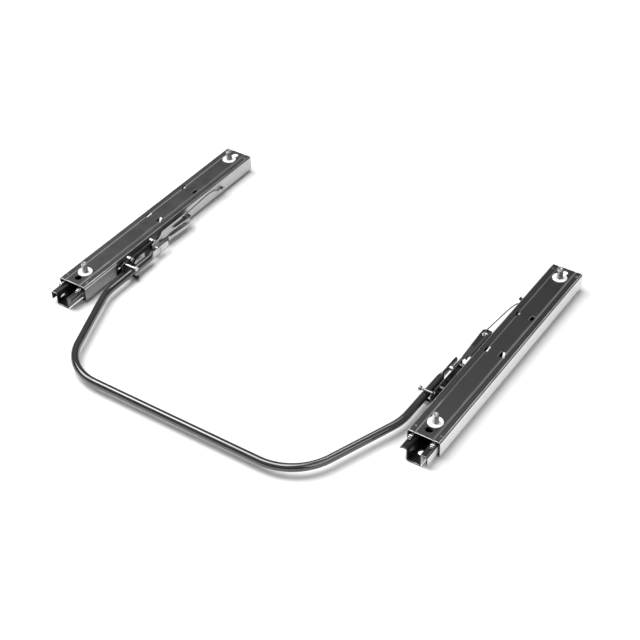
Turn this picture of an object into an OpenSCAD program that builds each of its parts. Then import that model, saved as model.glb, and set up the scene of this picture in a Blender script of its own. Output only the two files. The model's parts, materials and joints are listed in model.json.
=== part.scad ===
// Pair of seat slide rails joined by a loop handle that releases both latches.
// X runs from the left rail to the right rail, Y runs rearwards and Z runs up from the floor.

/* [Rails] */
// Length of each rail
rail_len = 370; // [340:1:420]
// Distance between the centre lines of the two rails
rail_spacing = 540; // [480:1:600]
// How far the upper rails stand behind the lower rails
rest_shift = 22; // [10:1:40]
// Height of the upper rail's top face above the floor
upper_top = 26; // [25:0.5:30]
// Height of the upper rail's foot above the floor
upper_foot = 3; // [2.5:0.1:4]
// Width of the upper rail
upper_w = 44.5; // [43:0.5:50]
// Sheet thickness of the upper rail
upper_sheet = 1.8; // [1.5:0.1:2]
// Width of the lips that fold in under the lower rail
upper_lip = 7.6; // [6:0.1:8.5]
// Outside width of the lower rail's channel
channel_w = 19.6; // [18.6:0.2:20.4]
// Sheet thickness of the lower rail
lower_sheet = 2; // [1.6:0.1:2]
// Inside radius of every fold
fold_r = 1.2; // [0.8:0.1:1.4]
// Side gap between the upper wall and the lower lip
side_gap = 1.95; // [1.8:0.05:2.4]
// Height gap between the lower lip and the upper lip
lip_gap = 2; // [1.6:0.1:2.4]

/* [Stamped details] */
// Distance from the centre line to each groove along the top
groove_u = 12.3; // [11.5:0.1:13]
// Width of a groove
groove_w = 3.4; // [2:0.1:4]
// Depth of a groove
groove_depth = 0.9; // [0.4:0.1:1.1]
// Diameter of the round hole near each end of the top
end_hole_d = 9.6; // [8:0.1:9.8]
// Distance from each stud to the round hole beyond it
end_hole_inset = 14; // [13.4:0.1:16]
// Distance from the front end to the first pair of middle holes
mid_hole_inset = 173; // [160:1:185]
// Distance between the two pairs of middle holes
mid_hole_pitch = 81; // [60:1:100]
// Diameter of the floor bolt holes
floor_hole_d = 9; // [8:0.1:10]
// Distance from each lower rail end to its floor bolt hole
floor_hole_inset = 19; // [16:1:30]
// Pitch of the latch notches
notch_pitch = 10; // [9:0.5:12]
// Width of a latch notch
notch_w = 5.4; // [5:0.1:6]
// Number of latch notches
notch_count = 25; // [10:1:29]
// How far the inner lip of the lower rail is cut back at the front
lip_relief = 22; // [10:1:30]

/* [Studs and balls] */
// Diameter of the seat studs
stud_d = 8; // [6:0.5:8.5]
// Height of a stud above the rail
stud_stand = 15.5; // [12:0.5:22]
// How far the right front stud has dropped in its hole
stud_drop = 1.5; // [0:0.5:5]
// Width of the square stud head
stud_head_w = 12; // [11:0.5:13]
// Height of the square stud head
stud_head_h = 5; // [3:0.5:6]
// Distance from the front end to the front stud
stud_inset = 26.8; // [24:0.1:30]
// Distance between the two studs of a rail
stud_pitch = 320; // [300:1:322]
// Outside diameter of the nylon washers
washer_d = 19.4; // [16:0.1:19.6]
// Thickness of the nylon washers
washer_t = 1.2; // [0.8:0.1:2]
// Diameter of the bearing balls
ball_d = 4.2; // [3.8:0.1:4.4]
// Number of balls in each cage
ball_count = 8; // [4:1:12]
// Length of a ball cage
cage_len = 300; // [200:1:310]
// How far the cages stand out of the upper rail's front end
cage_out = 5; // [2:0.5:8]

/* [Handle] */
// Outside diameter of the handle tube
tube_d = 10.5; // [9.5:0.1:11]
// Wall thickness of the handle tube
tube_wall = 1.5; // [1:0.1:2]
// Height of the tube's centre line above the floor
tube_z = 13; // [12.5:0.1:13.5]
// Distance from the upper rail's wall to the tube's centre line
tube_standoff = 18.75; // [17.75:0.25:22]
// Distance from the upper rail's front end to the outer bend of the handle
leg_start = 19; // [10:1:40]
// How far the crossbar lies ahead of the upper rails
crossbar_ahead = 123; // [100:0.5:160]
// How far each leg slants in towards the crossbar
leg_slant = 55; // [40:0.5:80]
// Centre line radius of the handle's bends
bend_r = 72; // [40:1:75]
// Thickness of the flattened tube ends
blade_t = 3; // [2.6:0.1:3.2]
// Height of the flattened tube ends
blade_h = 12; // [11:0.1:12.6]

/* [Fork and latch] */
// Distance from the upper rail's front end to the fork
fork_inset = 73.5; // [70:0.5:80]
// Diameter of the fork pins
fork_pin_d = 3.5; // [3:0.1:3.6]
// How far the bracket stands off the wall
bracket_standoff = 6.5; // [6:0.1:7]
// Thickness of the bracket
bracket_t = 1.6; // [1.2:0.1:2]
// Distance from the fork to the link rivet
link_arm = 57.5; // [56:0.5:60]
// Distance from the link rivet to the lever's pivot
lever_arm = 72; // [70:0.5:74]
// Height of the lever's pivot above the floor
pivot_z = 14.5; // [14:0.1:15]
// Diameter of the lever's pivot pin
pivot_d = 5; // [4.4:0.1:5.4]
// Diameter of the link rivet
link_d = 4; // [3.4:0.1:4.4]
// Sheet thickness of the lever and the pawl
lever_sheet = 1.6; // [1.2:0.1:1.8]
// Height of the lever's top above the floor
lever_top = 21.5; // [21:0.1:22.5]
// Height of the lever's lower edge above the floor
lever_foot = 7.5; // [7:0.1:8]
// Diameter of the spring wire
wire_d = 1.6; // [1.2:0.1:1.8]
// Distance from the lever's pivot to the spring's hook hole
hook_reach = 86; // [78:1:92]
// Height of the spring's hook hole above the floor
hook_z = 14; // [12:0.5:16]

/* [Clearances] */
// Play of a ball above and below
ball_play = 0.35; // [0.3:0.05:0.5]
// Radial clearance of a pin that something turns on
pivot_play = 0.08; // [0.05:0.01:0.1]
// Radial clearance of a stud in its hole
stud_play = 0.1; // [0.05:0.01:0.2]
// Gap between the fork pins and the tube
fork_play = 0.3; // [0.3:0.05:0.5]
// Gap between the pawl's teeth and the lower rail's lip
tooth_gap = 0.5; // [0.4:0.05:0.7]

/* [Hidden] */
$fn = 48;

left = -1;
right = 1;
black_steel = [0.14, 0.14, 0.15];
zinc = [0.68, 0.69, 0.70];
nylon = [0.95, 0.95, 0.94];

// Rail sections: u runs from a rail's centre line towards the other rail
wall_out = upper_w / 2;
wall_in = wall_out - upper_sheet;
upper_front = -rail_len / 2 + rest_shift;
upper_rear = upper_front + rail_len;
ceiling = upper_top - upper_sheet;
lip_out = wall_in - side_gap;
channel_out = channel_w / 2;
channel_in = channel_out - lower_sheet;
flange_top = ceiling - ball_d - 2 * ball_play;
lip_foot = upper_foot + upper_sheet + lip_gap;

// Studs, balls and cages
stud_ys = [upper_front + stud_inset, upper_front + stud_inset + stud_pitch];
shank_step = 0.5;
thread_gap = 0.3;
ball_edge = 0.8;
ball_u = lip_out - fold_r - lower_sheet - ball_edge;
ball_z = ceiling - ball_play - ball_d / 2;
cage_t = 1;
cage_rim = 0.3;
cage_w = ball_d + 2 * cage_rim;
cage_front = upper_front - cage_out;
cage_tab_play = 0.5;
cage_hole_d = 2.4;
cage_hole_inset = 4;
ball_inset = 9;

// Fork and bracket
tube_u = wall_out + tube_standoff;
leaf_h = 8;
fork_y = upper_front + fork_inset;
fork_rise = tube_d / 2 + fork_play + fork_pin_d / 2;
fork_head_gap = 0.5;
fork_head_l = 3.25;
fork_head_rim = 1.35;
fork_head_d = fork_pin_d + 2 * fork_head_rim;
bracket_in = wall_out + bracket_standoff;
bracket_out = bracket_in + bracket_t;
bracket_nose = 7.5;
bracket_len = 76;
bracket_rim = 1.4;
bracket_heel = 15.5;
bracket_slope = 8;
bracket_front = fork_y - bracket_nose;
bracket_rear = bracket_front + bracket_len;
bracket_top = tube_z + fork_rise + fork_pin_d / 2 + bracket_rim;
bracket_foot = tube_z - fork_rise - fork_pin_d / 2 - bracket_rim / 2;
bracket_waist = tube_z - leaf_h / 2;
rivet_insets = [21, 7];
rivet_ys = [bracket_front + rivet_insets[0], bracket_rear - rivet_insets[1]];
rivet_z = bracket_top - rivet_insets[1] / 2 - 0.5;
rivet_d = 4.6;
rivet_head = 1.2;
collar_t = 0.8;
leaf_t = 0.8;
leaf_root = fork_y + 26.5;
leaf_foot = 11;
leaf_rivet_y = leaf_root + 6;
leaf_r = 25;
leaf_tip_gap = 0.9;
leaf_tip_u = tube_u - tube_d / 2 - leaf_tip_gap;
leaf_sweep = acos(1 - (leaf_tip_u - bracket_out) / leaf_r);
leaf_rivet_d = 2.6;
rivet_rim = 1.3;
tab_size = [1.2, 7, 6];
tab_y = fork_y + 38.5;
tab_lean = 25;
fork_window = [[fork_y - 12, 5.6], [fork_y + 5, 21]];

// Handle
tube_x = rail_spacing / 2 - tube_u;
blade_start = fork_y + 34.5;
blade_taper = 9;
blade_past = 18.5;
link_y = fork_y + link_arm;
blade_end = link_y + blade_past;
corner_x = tube_x - leg_slant;
corner_y = upper_front - crossbar_ahead;
leg_y = upper_front + leg_start;
splay = atan(leg_slant / (leg_y - corner_y));
corner_turn = 90 - splay;
corner_trim = bend_r * tan(corner_turn / 2);
leg_trim = bend_r * tan(splay / 2);
leg_len = leg_slant / sin(splay) - corner_trim - leg_trim;
run_lap = 1;
run_step = 0.08;
plug_step = 0.5;
plug_neck = 0.3;

// Lever, pawl and spring
pivot_y = link_y + lever_arm;
pawl_gap = 0.9;
pawl_in = wall_out + pawl_gap;
lever_in = pawl_in + lever_sheet;
lever_inner = lever_in + lever_sheet;
lever_reach = 54;
lever_tail = 7.5;
lever_round = 5;
lever_eye = 6.5;
lever_nose = 8;
lever_neck = 3;
lever_wall_drop = 3;
lever_wall_lap = 2;
lever_fold_lap = 0.4;
lever_front = pivot_y - lever_reach;
lever_rear = pivot_y + lever_tail;
blade_in = tube_u - blade_t / 2;
ear_gap = 0.5;
ear_in = bracket_out + rivet_head + ear_gap;
ear_out = ear_in + lever_sheet;
ear_front = link_y - 5.5;
ear_rear = link_y + 9;
link_play = 0.3;
link_slide = 1.2;
tooth_w = 4;
tooth_z = [9.5, 12.5];
tooth_play = 1.5;
notch_top = tooth_z[1] + tooth_play;
tooth_tip = lip_out + tooth_gap;
tooth_reach = 30;
tooth_ys = [for (i = [-1:1]) pivot_y - tooth_reach + i * notch_pitch];
tooth_window = [[tooth_ys[0] - notch_w * 0.75, fork_window[0][1]], [tooth_ys[2] + notch_w * 0.75, notch_top]];
pawl_rivet_d = 4;
pawl_rivet_pitch = 12;
pawl_rivet_ys = [for (s = [-1, 1]) tooth_ys[1] + s * pawl_rivet_pitch / 2];
pawl_rivet_z = 16;
pawl_rim = 3;
coil_play = 0.5;
coil_r = pivot_d / 2 + coil_play + wire_d / 2;
coil_pitch = wire_d + 0.1;
coil_turns = 1.75;
coil_gap = 0.7;
coil_u = lever_inner + coil_gap + wire_d / 2;
coil_end_u = coil_u + coil_turns * coil_pitch;
coil_window_d = 7.6;
pin_end = coil_end_u + wire_d / 2 + 2 * coil_play;
pin_head = 1;
pin_head_d = pivot_d + 4;
pin_collar_d = pivot_d + 3;
pin_head_play = 0.5;
lever_room = 1.5;
lever_spread = pin_end + pin_head + lever_room + lever_sheet * 1.02 - ear_out;
lever_flare = atan(lever_spread / (pivot_y - lever_front - pin_head_d / 2));
hook_y = pivot_y + hook_reach;
hook_end = lip_out + 1;
hook_r = 2;
hook_play = 0.3;
hook_stop = [1.8, 3.6, 1.2];
hook_stop_y = hook_y + 7;
leg_rise = 2.9;
leg_z = lever_top + leg_rise;
leg_bend = 2.5;
leg_droop = 7;
short_leg = 16;
wire_sides = 8;
wire_steps = 16;

// Small openings in the rails
mid_slot = [3.4, 8.5];
mid_slot_u = 12.5;
lanced_hole = [5, 9];
lanced_u = 7.5;
dimple_inset = 10;
dimple_u = 17.4;
dimple_r = 3;
dimple_depth = 1.3;
wall_slot = [8, 4];
wall_slot_inset = 10;
wall_slot_z = 9;

// Draws a left rail's piece in place, or its mirror image for the right rail
module place(side) {
  mirror([side > 0 ? 1 : 0, 0, 0])
    translate([-rail_spacing / 2, 0, 0])
      children();
}

// Extrudes a section drawn in u and Z along Y
module along_y(y_from, y_to) {
  translate([0, y_to, 0])
    rotate([90, 0, 0])
      linear_extrude(y_to - y_from)
        children();
}

// Extrudes a side view drawn in Y and Z along u
module along_u(u_from, u_to) {
  translate([u_from, 0, 0])
    rotate([90, 0, 90])
      linear_extrude(u_to - u_from)
        children();
}

// Round bar along u
module bar(d, u_from, u_to, y, z) {
  translate([u_from, y, z])
    rotate([0, 90, 0])
      cylinder(d = d, h = u_to - u_from);
}

// Quarter fold of a sheet, starting at the given angle
module fold(at, sheet, start) {
  translate(at)
    rotate(start)
      intersection() {
        difference() {
          circle(fold_r + sheet);
          circle(fold_r);
        }
        square(fold_r + sheet);
      }
}

// Rectangle between two corners
module rect(low, high) {
  translate(low)
    square(high - low);
}

// Cutter for a V-shaped groove, open at the top
module groove_section() {
  half = groove_w / 2;
  polygon([[0, -groove_depth], [half, 0], [half, 1], [-half, 1], [-half, 0]]);
}

module upper_section() {
  r = fold_r + upper_sheet;
  difference() {
    rect([-wall_out + r, ceiling], [wall_out - r, upper_top]);
    for (s = [-1, 1])
      translate([s * groove_u, upper_top])
        groove_section();
  }
  for (s = [0, 1])
    mirror([s, 0]) {
      fold([wall_out - r, upper_top - r], upper_sheet, 0);
      rect([wall_in, upper_foot + r], [wall_out, upper_top - r]);
      fold([wall_out - r, upper_foot + r], upper_sheet, -90);
      rect([wall_out - upper_lip, upper_foot], [wall_out - r, upper_foot + upper_sheet]);
    }
}

module lower_section() {
  r = fold_r + lower_sheet;
  rect([-channel_out + r, 0], [channel_out - r, lower_sheet]);
  for (s = [0, 1])
    mirror([s, 0]) {
      fold([channel_out - r, r], lower_sheet, -90);
      rect([channel_in, r], [channel_out, flange_top - r]);
      fold([channel_out + fold_r, flange_top - r], lower_sheet, 90);
      rect([channel_out + fold_r, flange_top - lower_sheet], [lip_out - r, flange_top]);
      fold([lip_out - r, flange_top - r], lower_sheet, 0);
      rect([lip_out - lower_sheet, lip_foot], [lip_out, flange_top - r]);
    }
}

// Oblong hole with round ends
module slot_plan(size) {
  d = min(size[0], size[1]);
  square(size - (size[0] > size[1] ? [d, 0] : [0, d]), center = true);
  for (s = [-1, 1])
    translate(s * (size - [d, d]) / 2)
      circle(d = d);
}

// Cutter for a hole through the upper rail's top
module top_hole(u, y) {
  translate([u, y, ceiling - 1])
    linear_extrude(upper_sheet + 2)
      children();
}

module lower_rail(side) {
  lip_cut = [lower_sheet + 2, lip_relief + 1, flange_top - fold_r - lower_sheet - lip_foot + 1];
  notch_cut = [lower_sheet + 2, notch_w, notch_top - lip_foot + 1];
  color(black_steel)
    place(side)
      difference() {
        along_y(-rail_len / 2, rail_len / 2)
          lower_section();
        for (s = [-1, 1])
          translate([0, s * (rail_len / 2 - floor_hole_inset), -1])
            cylinder(d = floor_hole_d, h = lower_sheet + 2);
        along_u(-channel_out - 1, channel_out + 1)
          translate([-rail_len / 2 + wall_slot_inset, wall_slot_z])
            slot_plan(wall_slot);
        translate([lip_out - lower_sheet - 1, 0, lip_foot - 1]) {
          for (i = [0:notch_count - 1])
            translate([0, (i - (notch_count - 1) / 2) * notch_pitch - notch_w / 2, 0])
              cube(notch_cut);
          translate([0, -rail_len / 2 - 1, 0])
            cube(lip_cut);
        }
      }
}

module upper_rail(side) {
  end_hole_ys = [stud_ys[0] - end_hole_inset, stud_ys[1] + end_hole_inset];
  middle_ys = [upper_front + mid_hole_inset, upper_front + mid_hole_inset + mid_hole_pitch];
  color(black_steel)
    place(side) {
      difference() {
        along_y(upper_front, upper_rear)
          upper_section();
        for (y = stud_ys)
          top_hole(0, y)
            circle(d = stud_d + 2 * stud_play);
        for (y = end_hole_ys)
          top_hole(0, y)
            circle(d = end_hole_d);
        for (y = middle_ys) {
          top_hole(side * mid_slot_u, y)
            slot_plan(mid_slot);
          top_hole(-side * lanced_u, y)
            square(lanced_hole, center = true);
        }
        for (s = [-1, 1])
          for (y = [upper_front + dimple_inset, upper_rear - dimple_inset])
            translate([s * dimple_u, y, upper_top + dimple_r - dimple_depth])
              sphere(r = dimple_r);
        for (w = [fork_window, tooth_window])
          along_u(wall_in - 1, wall_out + 1)
            rect(w[0], w[1]);
        for (y = rivet_ys)
          bar(rivet_d, wall_in - 1, wall_out + 1, y, rivet_z);
        bar(pivot_d, wall_in - 1, wall_out + 1, pivot_y, pivot_z);
        bar(wire_d + 2 * hook_play, wall_in - 1, wall_out + 1, hook_y, hook_z);
      }
      translate([wall_out, hook_stop_y, hook_z - hook_stop[0]])
        cube(hook_stop);
    }
}

module stud(y, drop) {
  chamfer = 0.9;
  dimple = 0.8;
  top = upper_top + stud_stand - drop;
  seat = ceiling - drop;
  thread = upper_top + washer_t + thread_gap;
  translate([0, y, 0])
    difference() {
      union() {
        translate([0, 0, seat])
          cylinder(d = stud_d - 2 * shank_step, h = thread - seat);
        translate([0, 0, thread])
          cylinder(d = stud_d, h = top - chamfer - thread);
        translate([0, 0, top - chamfer])
          cylinder(d1 = stud_d, d2 = stud_d - 2 * chamfer, h = chamfer);
        translate([-stud_head_w / 2, -stud_head_w / 2, seat - stud_head_h])
          cube([stud_head_w, stud_head_w, stud_head_h]);
      }
      translate([0, 0, top - dimple])
        cylinder(d1 = stud_d * 0.3, d2 = stud_d * 0.6, h = dimple * 1.25);
    }
}

module studs(side) {
  color(zinc)
    place(side) {
      stud(stud_ys[0], side == right ? stud_drop : 0);
      stud(stud_ys[1], 0);
    }
}

module stud_washers(side) {
  color(nylon)
    place(side)
      for (y = stud_ys)
        translate([0, y, upper_top])
          difference() {
            cylinder(d = washer_d, h = washer_t);
            translate([0, 0, -1])
              cylinder(d = stud_d + 2 * stud_play, h = washer_t + 2);
          }
}

// Positions of a cage's balls along Y
function ball_y(i) = cage_front + ball_inset + i * (cage_len - 2 * ball_inset) / (ball_count - 1);

module ball_cage(side, s) {
  tab_low = flange_top + cage_tab_play;
  tab_high = ceiling - cage_tab_play;
  color(zinc)
    place(side)
      difference() {
        union() {
          translate([s * ball_u - cage_w / 2, cage_front, ball_z - cage_t / 2])
            cube([cage_w, cage_len, cage_t]);
          for (y = [cage_front, cage_front + cage_len - cage_t])
            translate([s * ball_u - cage_w / 2, y, tab_low])
              cube([cage_w, cage_t, tab_high - tab_low]);
        }
        for (i = [0:ball_count - 1])
          translate([s * ball_u, ball_y(i), ball_z - cage_t])
            cylinder(d = ball_d + 0.1, h = 2 * cage_t);
        for (y = [cage_front + cage_hole_inset, cage_front + cage_len - cage_hole_inset])
          translate([s * ball_u, y, ball_z - cage_t])
            cylinder(d = cage_hole_d, h = 2 * cage_t);
      }
}

module balls(side) {
  color(zinc)
    place(side)
      for (s = [-1, 1])
        for (i = [0:ball_count - 1])
          translate([s * ball_u, ball_y(i), ball_z])
            sphere(d = ball_d);
}

module handle_bracket(side) {
  heel = bracket_front + bracket_heel;
  color(black_steel)
    place(side) {
      difference() {
        along_u(bracket_in, bracket_out)
          polygon([
            [bracket_front, bracket_foot], [heel, bracket_foot], [heel + bracket_slope, bracket_waist],
            [bracket_rear, bracket_waist], [bracket_rear, bracket_top], [bracket_front, bracket_top]
          ]);
        for (s = [-1, 1])
          bar(fork_pin_d, bracket_in - 1, bracket_out + 1, fork_y, tube_z + s * fork_rise);
        for (y = rivet_ys)
          bar(rivet_d, bracket_in - 1, bracket_out + 1, y, rivet_z);
        bar(leaf_rivet_d, bracket_in - 1, bracket_out + 1, leaf_rivet_y, tube_z);
      }
      translate([bracket_out, tab_y, tube_z + leaf_h / 4])
        rotate([0, -tab_lean, 0])
          translate([-tab_size[0] / 3, 0, -tab_size[2] / 2])
            cube(tab_size);
    }
}

module bracket_rivets(side) {
  head_d = rivet_d + 2 * rivet_rim;
  leaf_head_d = leaf_rivet_d + 2 * collar_t;
  leaf_out = bracket_out + leaf_t;
  color(zinc)
    place(side) {
      for (y = rivet_ys) {
        bar(head_d, wall_in - rivet_head, wall_in, y, rivet_z);
        bar(rivet_d, wall_in, wall_out, y, rivet_z);
        bar(head_d, wall_out, bracket_in, y, rivet_z);
        bar(rivet_d, bracket_in, bracket_out, y, rivet_z);
        bar(head_d, bracket_out, bracket_out + rivet_head, y, rivet_z);
      }
      bar(leaf_head_d, bracket_in - collar_t, bracket_in, leaf_rivet_y, tube_z);
      bar(leaf_rivet_d, bracket_in, leaf_out, leaf_rivet_y, tube_z);
      bar(leaf_head_d, leaf_out, leaf_out + collar_t, leaf_rivet_y, tube_z);
    }
}

module fork_pins(side) {
  head_u = tube_u + tube_d / 2 + fork_head_gap;
  color(zinc)
    place(side)
      for (s = [-1, 1]) {
        bar(fork_pin_d + 2 * collar_t, bracket_in - collar_t, bracket_in, fork_y, tube_z + s * fork_rise);
        bar(fork_pin_d, bracket_in, head_u, fork_y, tube_z + s * fork_rise);
        bar(fork_head_d, head_u, head_u + fork_head_l, fork_y, tube_z + s * fork_rise);
      }
}

module leaf_spring(side) {
  color(zinc)
    place(side)
      translate([0, 0, tube_z - leaf_h / 2])
        difference() {
          linear_extrude(leaf_h) {
            rect([bracket_out, leaf_root], [bracket_out + leaf_t, leaf_root + leaf_foot]);
            translate([bracket_out + leaf_r, leaf_root])
              intersection() {
                difference() {
                  circle(leaf_r, $fn = 96);
                  circle(leaf_r - leaf_t, $fn = 96);
                }
                polygon([[0, 0], [-2 * leaf_r, 0], -2 * leaf_r * [cos(leaf_sweep), sin(leaf_sweep)]]);
              }
          }
          translate([0, 0, leaf_h / 2])
            bar(leaf_rivet_d, bracket_out - 1, bracket_out + leaf_t + 1, leaf_rivet_y, 0);
        }
}

// Plan of the lever's top: a tapered tray with a window over the coil, a neck and the strip over the ear
module lever_plan() {
  round_y = lever_rear - lever_round;
  wide = ear_out + (round_y - lever_front) * tan(lever_flare) - lever_fold_lap;
  difference() {
    union() {
      polygon([
        [lever_in, lever_rear], [wide - lever_round, lever_rear], [wide, round_y],
        [ear_out, lever_front + lever_wall_lap], [ear_out, ear_front], [ear_in, ear_front], [ear_in, ear_rear],
        [ear_in - lever_neck, lever_front], [lever_in, lever_front + lever_nose]
      ]);
      translate([wide - lever_round, round_y])
        circle(lever_round);
    }
    translate([coil_end_u, pivot_y - coil_r / 2])
      circle(d = coil_window_d);
  }
}

// Side view of the lever's outer wall, measured from its front, with its long opening
module lever_side() {
  length = (lever_rear - lever_round - lever_front) / cos(lever_flare);
  wall_top = lever_top - lever_fold_lap;
  round_r = 6;
  rail_w = 2;
  brow = 4;
  panel_front = 10;
  panel_top = 13;
  slot_slope = 6;
  difference() {
    union() {
      rect([-lever_wall_lap, lever_top - brow], [length - round_r, wall_top]);
      rect([panel_front, lever_foot], [length - round_r, wall_top]);
      rect([length - round_r - 1, lever_foot + round_r], [length, wall_top - round_r]);
      for (z = [lever_foot + round_r, wall_top - round_r])
        translate([length - round_r, z])
          circle(round_r);
    }
    polygon([
      [panel_front - rail_w, lever_top - brow], [panel_front - rail_w + slot_slope, panel_top],
      [length - rail_w - 1, panel_top], [length - rail_w, lever_top - brow],
      [length - rail_w - brow, lever_top - rail_w], [panel_front - rail_w + slot_slope, lever_top - rail_w]
    ]);
  }
}

module latch_lever(side) {
  ear_rim = 2.4;
  ear_tip = tube_z - link_d / 2 - ear_rim;
  color(black_steel)
    place(side)
      difference() {
        union() {
          translate([0, 0, lever_top - lever_sheet])
            linear_extrude(lever_sheet)
              lever_plan();
          along_u(lever_in, lever_inner) {
            rect([lever_front + lever_nose, pivot_z - lever_wall_drop], [pivot_y, lever_top]);
            rect([pivot_y, pivot_z], [lever_rear - 1, lever_top]);
            translate([pivot_y, pivot_z])
              circle(lever_eye);
          }
          translate([ear_out, lever_front, 0])
            rotate(-lever_flare)
              along_u(-lever_sheet, 0)
                lever_side();
          along_u(ear_in, ear_out)
            polygon([
              [ear_front, lever_top], [ear_front, tube_z], [link_y - ear_rim, ear_tip],
              [link_y + ear_rim, ear_tip], [ear_rear, tube_z + ear_rim], [ear_rear, lever_top]
            ]);
        }
        bar(pivot_d + 2 * pivot_play, lever_in - 1, lever_inner + 1, pivot_y, pivot_z);
        along_u(ear_in - 1, ear_out + 1)
          translate([link_y - link_slide / 2, tube_z])
            slot_plan([link_d + 2 * link_play + 2 * link_slide, link_d + 2 * link_play]);
        for (y = pawl_rivet_ys)
          bar(pawl_rivet_d, lever_in - 1, lever_inner + 1, y, pawl_rivet_z);
      }
}

module lock_pawl(side) {
  color(zinc)
    place(side)
      difference() {
        union() {
          along_u(pawl_in, lever_in)
            rect([tooth_ys[0] - pawl_rim, tooth_z[0] - 1], [tooth_ys[2] + pawl_rim, pawl_rivet_z + pawl_rim]);
          for (y = tooth_ys)
            translate([tooth_tip, y - tooth_w / 2, tooth_z[0]])
              cube([lever_in - tooth_tip, tooth_w, tooth_z[1] - tooth_z[0]]);
        }
        for (y = pawl_rivet_ys)
          bar(pawl_rivet_d, pawl_in - 1, lever_in + 1, y, pawl_rivet_z);
      }
}

module pawl_rivets(side) {
  color(zinc)
    place(side)
      for (y = pawl_rivet_ys) {
        bar(pawl_rivet_d, pawl_in, lever_inner, y, pawl_rivet_z);
        bar(pawl_rivet_d + 2, lever_inner, lever_inner + 1, y, pawl_rivet_z);
      }
}

module lever_pin(side) {
  color(zinc)
    place(side) {
      bar(pin_collar_d, wall_in - rivet_head, wall_in, pivot_y, pivot_z);
      bar(pivot_d, wall_in, pin_end, pivot_y, pivot_z);
      bar(pin_collar_d, wall_out, lever_in - link_play, pivot_y, pivot_z);
      bar(pin_head_d, pin_end, pin_end + pin_head, pivot_y, pivot_z);
    }
}

function unit(v) = v / norm(v);
function heading(path, i) = unit(path[min(i + 1, len(path) - 1)] - path[max(i - 1, 0)]);
// Side directions along a path, each one carried on from the last without twisting
function sideways(path, i, last) =
  i == len(path) ? []
  : let (h = heading(path, i), a = unit(last - h * (last * h))) concat([a], sideways(path, i + 1, a));
function ring(at, h, a, r) =
  [for (i = [0:wire_sides - 1]) let (t = i * 360 / wire_sides) at + r * (cos(t) * a + sin(t) * cross(h, a))];

// Round wire along a path
module wire(path, r) {
  last = len(path) - 1;
  n = wire_sides;
  across = sideways(path, 0, [1, 0, 0]);
  rings = [for (i = [0:last]) each ring(path[i], heading(path, i), across[i], r)];
  sides = [
    for (i = [0:last - 1])
      for (j = [0:n - 1])
        let (k = (j + 1) % n, low = i * n, high = low + n)
        each [[low + j, high + j, high + k], [low + j, high + k, low + k]]
  ];
  caps = [
    for (j = [1:n - 2])
      each [[0, j, j + 1], [last * n, last * n + j + 1, last * n + j]]
  ];
  polyhedron(points = rings, faces = concat(sides, caps));
}

// Spring path: short leg under the lever's top, coil, bend up through the window, long leg and hook
function coil_point(turn) =
  [coil_u + turn * coil_pitch, pivot_y + coil_r * sin(turn * 360), pivot_z + coil_r * cos(turn * 360)];
function bend_point(t) =
  [coil_end_u, pivot_y - coil_r + leg_bend * (1 - cos(t)), leg_z - leg_bend + leg_bend * sin(t)];
function long_leg(s) =
  let (from = bend_point(90), to = hook_point(0))
  [
    from[0] + (to[0] - from[0]) * s,
    from[1] + (to[1] - from[1]) * s,
    leg_z - (leg_z - hook_z) * pow(s, leg_droop)
  ];
function hook_point(t) =
  [wall_out + hook_r * cos(t), hook_y - hook_r + hook_r * sin(t), hook_z];

module return_spring(side) {
  rise = lever_top - lever_sheet - wire_d - pin_head_play;
  step = short_leg / 4;
  path = concat(
    [for (s = [0:3]) [coil_u, pivot_y - short_leg + step * s, rise + (pivot_z + coil_r - rise) * s / 4]],
    [for (i = [0:coil_turns * wire_steps]) coil_point(i / wire_steps)],
    [for (t = [0:30:90]) bend_point(t)],
    [for (i = [1:wire_steps]) long_leg(i / wire_steps)],
    [for (t = [30:30:90]) hook_point(t)],
    [[hook_end, hook_y, hook_z]]
  );
  color(zinc)
    place(side)
      wire(path, wire_d / 2);
}

module link_rivet(side) {
  head_d = link_d + 3;
  blade_out = blade_in + blade_t;
  bore_d = link_d * 0.55;
  color(zinc)
    place(side)
      difference() {
        union() {
          bar(head_d, ear_in - link_play - pin_head, ear_in - link_play, link_y, tube_z);
          bar(link_d, ear_in - link_play, blade_out, link_y, tube_z);
          bar(head_d, ear_out + link_play, blade_in, link_y, tube_z);
          bar(head_d, blade_out, blade_out + pin_head, link_y, tube_z);
        }
        bar(bore_d, blade_in, blade_out + 2 * pin_head, link_y, tube_z);
      }
}

// Ring section of the tube, drawn thinner by a hair's step where a straight run laps into a bend
module tube_section(step) {
  difference() {
    circle(d = tube_d - 2 * step);
    circle(d = tube_d - 2 * tube_wall + 2 * step);
  }
}

module tube_bend(turn) {
  rotate_extrude(angle = turn)
    translate([bend_r, 0])
      tube_section(0);
}

module tube_run(length) {
  translate([bend_r, -run_lap, 0])
    rotate([-90, 0, 0])
      linear_extrude(length + 2 * run_lap)
        tube_section(run_step);
}

// One side of the handle's round tube: corner bend, slanted leg, outer bend and straight end in turn
module handle_side() {
  translate([corner_x - corner_trim, corner_y + bend_r, tube_z])
    rotate(-90) {
      tube_bend(corner_turn);
      rotate(corner_turn) {
        tube_run(leg_len);
        translate([0, leg_len, 0]) {
          tube_bend(splay);
          rotate(splay)
            tube_run(blade_start - leg_y - leg_trim - run_lap - plug_neck);
        }
      }
    }
}

module crossbar() {
  half = corner_x - corner_trim + run_lap;
  translate([-half, corner_y, tube_z])
    rotate([0, 90, 0])
      linear_extrude(2 * half)
        tube_section(run_step);
}

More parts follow.
